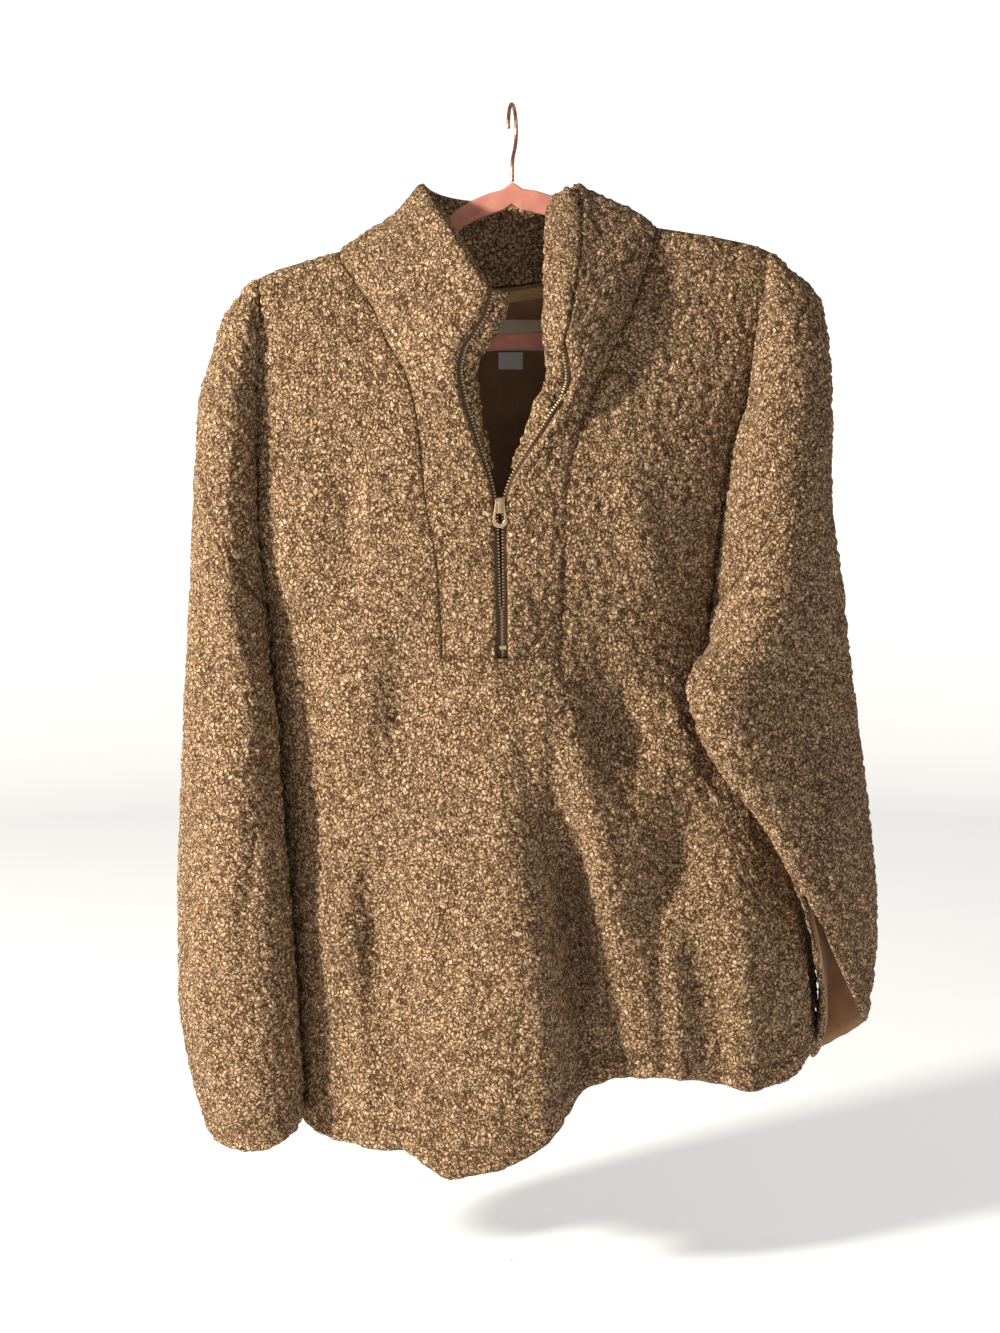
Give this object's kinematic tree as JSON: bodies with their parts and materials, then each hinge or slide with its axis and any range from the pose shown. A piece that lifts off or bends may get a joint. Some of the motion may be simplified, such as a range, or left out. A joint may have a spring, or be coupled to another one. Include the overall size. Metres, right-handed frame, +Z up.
{
  "type": "sherpa half-zip pullover jacket on a velvet hanger",
  "caption": "Tan sherpa pullover jacket with a stand-up collar and a half-open zip, hanging on a slim flocked hanger with a wire hook.",
  "frame": {"origin": "inside top of the hanger's hook, where it rests on a rail", "axes": "+Z up, the wearer's front faces -Y, +X to the viewer's right as seen from the front"},
  "size_m": [0.562, 0.193, 0.8308],
  "materials": {
    "pile": "sherpa fleece, tan curled pile on a brown knit backing",
    "tape": "brown woven zip tape",
    "neck_tape": "tan herringbone tape",
    "label": "woven label, bare",
    "white_label": "white woven label, bare",
    "zip_metal": "pale gold plated zinc",
    "hanger": "dusty pink flock on a moulded plate",
    "hook": "steel wire plated rose gold"
  },
  "bodies": {
    "jacket": {"front_panel": "pile", "back_panel": "pile", "bib_collar_left": "pile", "bib_collar_right": "pile", "collar_back": "pile", "facing_left": "pile", "facing_right": "pile", "sleeve_left": "pile", "sleeve_right": "pile", "zip_tape_left": "tape", "zip_tape_right": "tape", "slider": "zip_metal", "zip_stop": "zip_metal", "hanger": "hanger", "hook": "hook", "neck_tape": "neck_tape", "main_label": "label", "size_label": "white_label", "hem_tab": "white_label"},
    "pull_tab": {"pull_tab": "zip_metal"}
  },
  "joints": [
    {"name": "pull_tab_hinge", "type": "hinge", "parent": "jacket", "child": "pull_tab", "pos_m": [-0.0098, -0.0724, -0.3058], "axis": [-1, 0, 0], "range_deg": [0, 150]}
  ]
}
